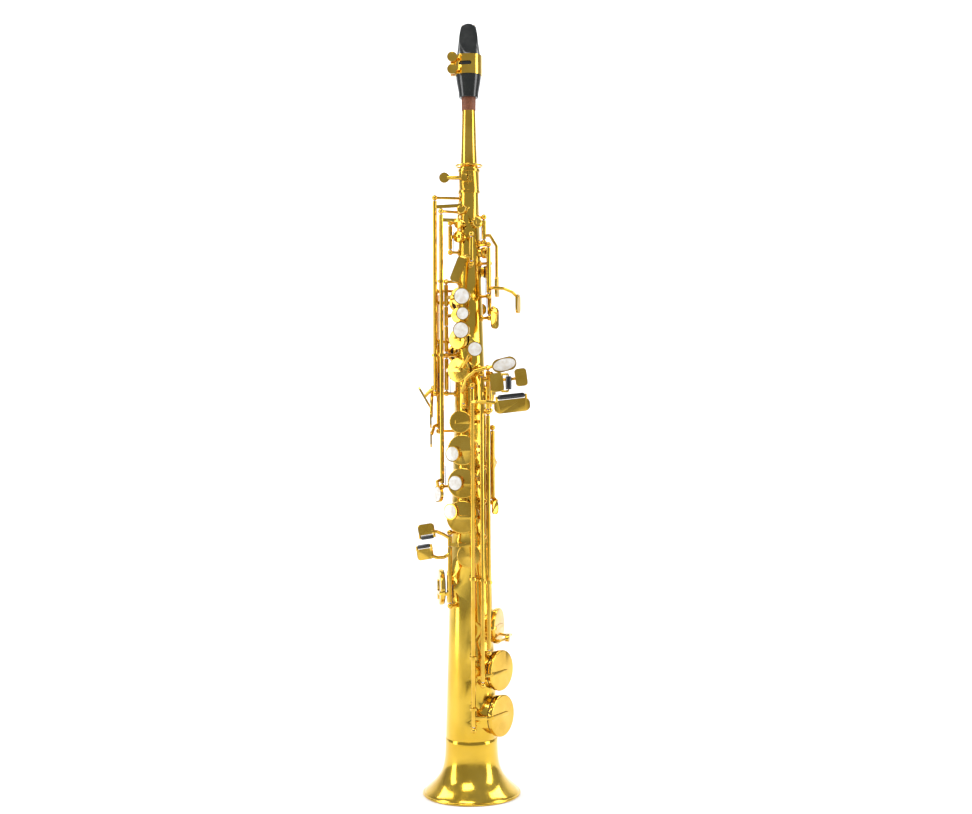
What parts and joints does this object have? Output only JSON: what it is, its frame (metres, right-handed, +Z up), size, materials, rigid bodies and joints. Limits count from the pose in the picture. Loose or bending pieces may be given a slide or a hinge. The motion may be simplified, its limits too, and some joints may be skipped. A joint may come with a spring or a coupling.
{
  "type": "soprano saxophone",
  "caption": "Straight soprano saxophone with a detachable neck, mouthpiece and reed, pad keys on hinge rods, touch plates, rollers and a flared bell.",
  "frame": {"origin": "middle of the bell rim, where the instrument stands", "axes": "+Z up the bore to the mouthpiece, -Y to the side of the finger keys, +X to the right as seen from that side"},
  "size_m": [0.1044, 0.09, 0.71],
  "materials": {
    "lacquered_brass": "clear gold lacquer, polished",
    "steel": "bright steel",
    "blued_steel": "blued spring steel",
    "ebonite": "polished black hard rubber",
    "cane": "cut cane",
    "cork": "greased cork",
    "pearl": "mother of pearl",
    "roller": "black polished plastic",
    "felt": "felt"
  },
  "bodies": {
    "body": {"body_tube": "lacquered_brass", "bell": "lacquered_brass", "neck_receiver": "lacquered_brass", "key_posts": "lacquered_brass", "hinge_rods": "steel", "needle_springs": "blued_steel", "thumb_hook": "lacquered_brass", "thumb_hook_screw": "steel", "thumb_rest": "lacquered_brass", "strap_ring": "lacquered_brass", "key_guard": "lacquered_brass", "key_bumpers": "felt"},
    "neck": {"neck_tube": "lacquered_brass", "neck_cork": "cork"},
    "mouthpiece_set": {"mouthpiece": "ebonite", "reed": "cane", "ligature": "lacquered_brass", "ligature_screws": "lacquered_brass"},
    "neck_screw": {"neck_screw": "lacquered_brass"},
    "neck_octave": {"neck_octave_key": "lacquered_brass"},
    "octave_lever": {"octave_lever": "lacquered_brass"},
    "front_f": {"front_f_key": "lacquered_brass"},
    "g_sharp_lever": {"g_sharp_lever": "lacquered_brass", "g_sharp_pearl": "pearl"},
    "low_c_sharp_lever": {"low_c_sharp_lever": "lacquered_brass"},
    "body_octave": {"body_octave_key": "lacquered_brass"},
    "palm_f": {"palm_f_key": "lacquered_brass"},
    "palm_e_flat": {"palm_e_flat_key": "lacquered_brass"},
    "palm_d": {"palm_d_key": "lacquered_brass"},
    "high_f_sharp": {"high_f_sharp_key": "lacquered_brass", "high_f_sharp_pearl": "pearl"},
    "side_e": {"side_e_key": "lacquered_brass"},
    "side_c": {"side_c_key": "lacquered_brass"},
    "side_b_flat": {"side_b_flat_key": "lacquered_brass"},
    "b": {"b_key": "lacquered_brass", "b_pearl": "pearl"},
    "bis": {"bis_key": "lacquered_brass", "bis_pearl": "pearl"},
    "a": {"a_key": "lacquered_brass", "a_pearl": "pearl"},
    "g": {"g_key": "lacquered_brass", "g_pearl": "pearl"},
    "g_sharp": {"g_sharp_key": "lacquered_brass"},
    "f_sharp": {"f_sharp_key": "lacquered_brass"},
    "fork_f_sharp": {"fork_f_sharp_key": "lacquered_brass"},
    "f": {"f_key": "lacquered_brass", "f_pearl": "pearl"},
    "e": {"e_key": "lacquered_brass", "e_pearl": "pearl"},
    "d": {"d_key": "lacquered_brass", "d_pearl": "pearl"},
    "e_flat": {"e_flat_key": "lacquered_brass"},
    "low_c": {"low_c_key": "lacquered_brass"},
    "low_c_sharp": {"low_c_sharp_key": "lacquered_brass"},
    "low_b": {"low_b_key": "lacquered_brass"},
    "low_b_flat": {"low_b_flat_key": "lacquered_brass"},
    "e_flat_roller": {"e_flat_roller": "roller"},
    "low_c_roller": {"low_c_roller": "roller"},
    "low_b_flat_roller": {"low_b_flat_roller": "roller"},
    "low_c_sharp_roller": {"low_c_sharp_roller": "roller"}
  },
  "joints": [
    {"name": "neck_turn", "type": "hinge", "parent": "body", "child": "neck", "pos_m": [0, 0, 0.566], "axis": [0, 0, 1], "range_deg": [-15, 15]},
    {"name": "mouthpiece_slide", "type": "slide", "parent": "neck", "child": "mouthpiece_set", "axis": [0, 0, 1], "range_m": [-0.008, 0.006]},
    {"name": "neck_screw_turn", "type": "hinge", "parent": "body", "child": "neck_screw", "pos_m": [-0.02, -0.013, 0.5646], "axis": [1, 0, 0], "continuous": true},
    {"name": "body_octave_turn", "type": "hinge", "parent": "body", "child": "body_octave", "pos_m": [-0.0174, -0.0047, 0.51085], "axis": [0, 0, 1], "range_deg": [-10.82, 0], "stiffness_Nm_per_rad": 0.02, "springref_deg": 25},
    {"name": "palm_f_turn", "type": "hinge", "parent": "body", "child": "palm_f", "pos_m": [0.0135, -0.0095, 0.5174], "axis": [0, 0, 1], "range_deg": [0, 15.16], "stiffness_Nm_per_rad": 0.02, "springref_deg": -25},
    {"name": "palm_e_flat_turn", "type": "hinge", "parent": "body", "child": "palm_e_flat", "pos_m": [0.0176, -0.0136, 0.48], "axis": [0, 0, 1], "range_deg": [-11.69, 0], "stiffness_Nm_per_rad": 0.02, "springref_deg": 25},
    {"name": "palm_d_turn", "type": "hinge", "parent": "body", "child": "palm_d", "pos_m": [0.0183, -0.0069, 0.462], "axis": [0, 0, 1], "range_deg": [-15.17, 0], "stiffness_Nm_per_rad": 0.02, "springref_deg": 25},
    {"name": "high_f_sharp_turn", "type": "hinge", "parent": "body", "child": "high_f_sharp", "pos_m": [-0.0255, -0.014, 0.40855], "axis": [0, 0, 1], "range_deg": [-6.84, 0], "stiffness_Nm_per_rad": 0.02, "springref_deg": 25},
    {"name": "side_e_turn", "type": "hinge", "parent": "body", "child": "side_e", "pos_m": [-0.0315, -0.006, 0.4576], "axis": [0, 0, 1], "range_deg": [-4.78, 0], "stiffness_Nm_per_rad": 0.02, "springref_deg": 25},
    {"name": "side_c_turn", "type": "hinge", "parent": "body", "child": "side_c", "pos_m": [-0.0305, 0.0065, 0.41505], "axis": [0, 0, 1], "range_deg": [0, 7.25], "stiffness_Nm_per_rad": 0.02, "springref_deg": -25},
    {"name": "side_b_flat_turn", "type": "hinge", "parent": "body", "child": "side_b_flat", "pos_m": [-0.0289, -0.0003, 0.3745], "axis": [0, 0, 1], "range_deg": [0, 7.69], "stiffness_Nm_per_rad": 0.02, "springref_deg": -25},
    {"name": "b_turn", "type": "hinge", "parent": "body", "child": "b", "pos_m": [-0.0215, -0.0005, 0.45805], "axis": [0, 0, 1], "range_deg": [0, 6.78], "stiffness_Nm_per_rad": 0.02, "springref_deg": -25},
    {"name": "bis_turn", "type": "hinge", "parent": "body", "child": "bis", "pos_m": [-0.0215, -0.0005, 0.4389], "axis": [0, 0, 1], "range_deg": [0, 6.75], "stiffness_Nm_per_rad": 0.02, "springref_deg": -25},
    {"name": "a_turn", "type": "hinge", "parent": "body", "child": "a", "pos_m": [-0.0215, -0.0005, 0.418], "axis": [0, 0, 1], "range_deg": [0, 7.12], "stiffness_Nm_per_rad": 0.02, "springref_deg": -25},
    {"name": "g_turn", "type": "hinge", "parent": "body", "child": "g", "pos_m": [-0.0215, -0.0005, 0.3855], "axis": [0, 0, 1], "range_deg": [0, 7.32], "stiffness_Nm_per_rad": 0.02, "springref_deg": -25},
    {"name": "g_sharp_turn", "type": "hinge", "parent": "body", "child": "g_sharp", "pos_m": [0.0184, -0.0098, 0.3672], "axis": [0, 0, 1], "range_deg": [-10.64, 0]},
    {"name": "f_sharp_turn", "type": "hinge", "parent": "body", "child": "f_sharp", "pos_m": [0.012, -0.0209, 0.339], "axis": [0, 0, 1], "range_deg": [-7.55, 0], "stiffness_Nm_per_rad": 0.02, "springref_deg": 25},
    {"name": "fork_f_sharp_turn", "type": "hinge", "parent": "body", "child": "fork_f_sharp", "pos_m": [0.0206, -0.009, 0.3024], "axis": [0, 0, 1], "range_deg": [-8.11, 0], "stiffness_Nm_per_rad": 0.02, "springref_deg": 25},
    {"name": "f_turn", "type": "hinge", "parent": "body", "child": "f", "pos_m": [0.012, -0.0209, 0.3167], "axis": [0, 0, 1], "range_deg": [-9.55, 0], "stiffness_Nm_per_rad": 0.02, "springref_deg": 25},
    {"name": "e_turn", "type": "hinge", "parent": "body", "child": "e", "pos_m": [0.012, -0.0209, 0.2854], "axis": [0, 0, 1], "range_deg": [-9.49, 0], "stiffness_Nm_per_rad": 0.02, "springref_deg": 25},
    {"name": "d_turn", "type": "hinge", "parent": "body", "child": "d", "pos_m": [0.012, -0.0209, 0.254], "axis": [0, 0, 1], "range_deg": [-10.02, 0], "stiffness_Nm_per_rad": 0.02, "springref_deg": 25},
    {"name": "e_flat_turn", "type": "hinge", "parent": "body", "child": "e_flat", "pos_m": [-0.0187, -0.0187, 0.2338], "axis": [0, 0, 1], "range_deg": [-7.1, 0], "stiffness_Nm_per_rad": 0.02, "springref_deg": 25},
    {"name": "low_c_turn", "type": "hinge", "parent": "body", "child": "low_c", "pos_m": [-0.0187, -0.0187, 0.2035], "axis": [0, 0, 1], "range_deg": [-9.65, 0], "stiffness_Nm_per_rad": 0.02, "springref_deg": 25},
    {"name": "low_c_sharp_turn", "type": "hinge", "parent": "body", "child": "low_c_sharp", "pos_m": [0.0165, -0.0245, 0.24205], "axis": [0, 0, 1], "range_deg": [-8.02, 0]},
    {"name": "low_b_turn", "type": "hinge", "parent": "body", "child": "low_b", "pos_m": [0.0108, -0.0302, 0.2452], "axis": [0, 0, 1], "range_deg": [0, 8.68], "stiffness_Nm_per_rad": 0.02, "springref_deg": -25},
    {"name": "low_b_flat_turn", "type": "hinge", "parent": "body", "child": "low_b_flat", "pos_m": [0.0024, -0.0322, 0.22], "axis": [0, 0, 1], "range_deg": [0, 7.12], "stiffness_Nm_per_rad": 0.02, "springref_deg": -25},
    {"name": "g_sharp_lever_turn", "type": "hinge", "parent": "body", "child": "g_sharp_lever", "pos_m": [-0.0055, -0.0215, 0.365], "axis": [0, 0, 1], "range_deg": [0, 8], "stiffness_Nm_per_rad": 0.02, "springref_deg": -25},
    {"name": "low_c_sharp_lever_turn", "type": "hinge", "parent": "body", "child": "low_c_sharp_lever", "pos_m": [0.0165, -0.0245, 0.367], "axis": [0, 0, 1], "range_deg": [0, 8], "stiffness_Nm_per_rad": 0.02, "springref_deg": -25},
    {"name": "front_f_turn", "type": "hinge", "parent": "body", "child": "front_f", "pos_m": [0.002, -0.019, 0.499], "axis": [0, 0, 1], "range_deg": [-8, 0], "stiffness_Nm_per_rad": 0.02, "springref_deg": 25},
    {"name": "octave_lever_turn", "type": "hinge", "parent": "body", "child": "octave_lever", "pos_m": [-0.007, 0.0185, 0.48], "axis": [0, 0, 1], "range_deg": [0, 5], "stiffness_Nm_per_rad": 0.02, "springref_deg": -25},
    {"name": "neck_octave_turn", "type": "hinge", "parent": "neck", "child": "neck_octave", "pos_m": [0, 0.0126, 0.592], "axis": [1, 0, 0], "range_deg": [-4.51, 0]},
    {"name": "e_flat_roller_spin", "type": "hinge", "parent": "e_flat", "child": "e_flat_roller", "pos_m": [-0.03875, -0.02334, 0.23791], "axis": [0.8925, -0.4162, 0.1736], "continuous": true},
    {"name": "low_c_roller_spin", "type": "hinge", "parent": "low_c", "child": "low_c_roller", "pos_m": [-0.04201, -0.02229, 0.22959], "axis": [0.8925, -0.4162, 0.1736], "continuous": true},
    {"name": "low_b_flat_roller_spin", "type": "hinge", "parent": "low_b_flat", "child": "low_b_flat_roller", "pos_m": [0.03731, -0.03307, 0.36505], "axis": [0.9728, 0.2068, 0.1045], "continuous": true},
    {"name": "low_c_sharp_roller_spin", "type": "hinge", "parent": "low_c_sharp_lever", "child": "low_c_sharp_roller", "pos_m": [0.035, -0.0344, 0.377], "axis": [0, 0, 1], "continuous": true}
  ],
  "couplings": [
    {"joint": "g_sharp_turn", "follows": "g_sharp_lever_turn", "ratio": -1.3289},
    {"joint": "low_c_sharp_turn", "follows": "low_c_sharp_lever_turn", "ratio": -1.0008},
    {"joint": "neck_octave_turn", "follows": "octave_lever_turn", "ratio": -0.9}
  ]
}
